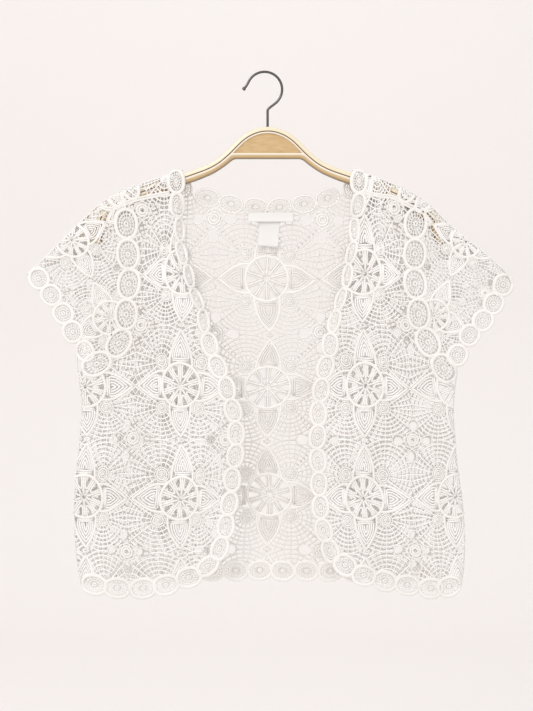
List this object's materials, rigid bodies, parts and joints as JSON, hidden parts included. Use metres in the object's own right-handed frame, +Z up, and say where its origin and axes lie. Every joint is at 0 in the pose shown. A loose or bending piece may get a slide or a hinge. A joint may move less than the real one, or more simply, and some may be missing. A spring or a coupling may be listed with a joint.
{
  "type": "cropped cardigan on a hanger",
  "caption": "Open-front cropped cotton lace cardigan with cap sleeves and scalloped edges, hanging flat on a wooden hanger with a wire hook.",
  "frame": {"origin": "inside top of the hanger's hook, where it hangs on a rail or pin", "axes": "+Z up, +Y towards the back of the garment, +X to the right as seen from the front"},
  "size_m": [0.6071, 0.0345, 0.6589],
  "materials": {
    "cotton_lace": "matte off-white cotton lace",
    "satin_label": "white woven satin tape",
    "lacquered_wood": "clear satin lacquer on pale maple",
    "wood_inlay": "clear satin lacquer on a pale inlay",
    "chromed_wire": "polished chrome"
  },
  "bodies": {
    "root": {"back": "cotton_lace", "front_left": "cotton_lace", "front_right": "cotton_lace", "sleeve_left_front": "cotton_lace", "sleeve_left_back": "cotton_lace", "sleeve_right_front": "cotton_lace", "sleeve_right_back": "cotton_lace", "neck_label": "satin_label", "care_label": "satin_label", "hanger_body": "lacquered_wood", "hanger_panel": "wood_inlay", "hanger_hook": "chromed_wire"}
  },
  "joints": []
}
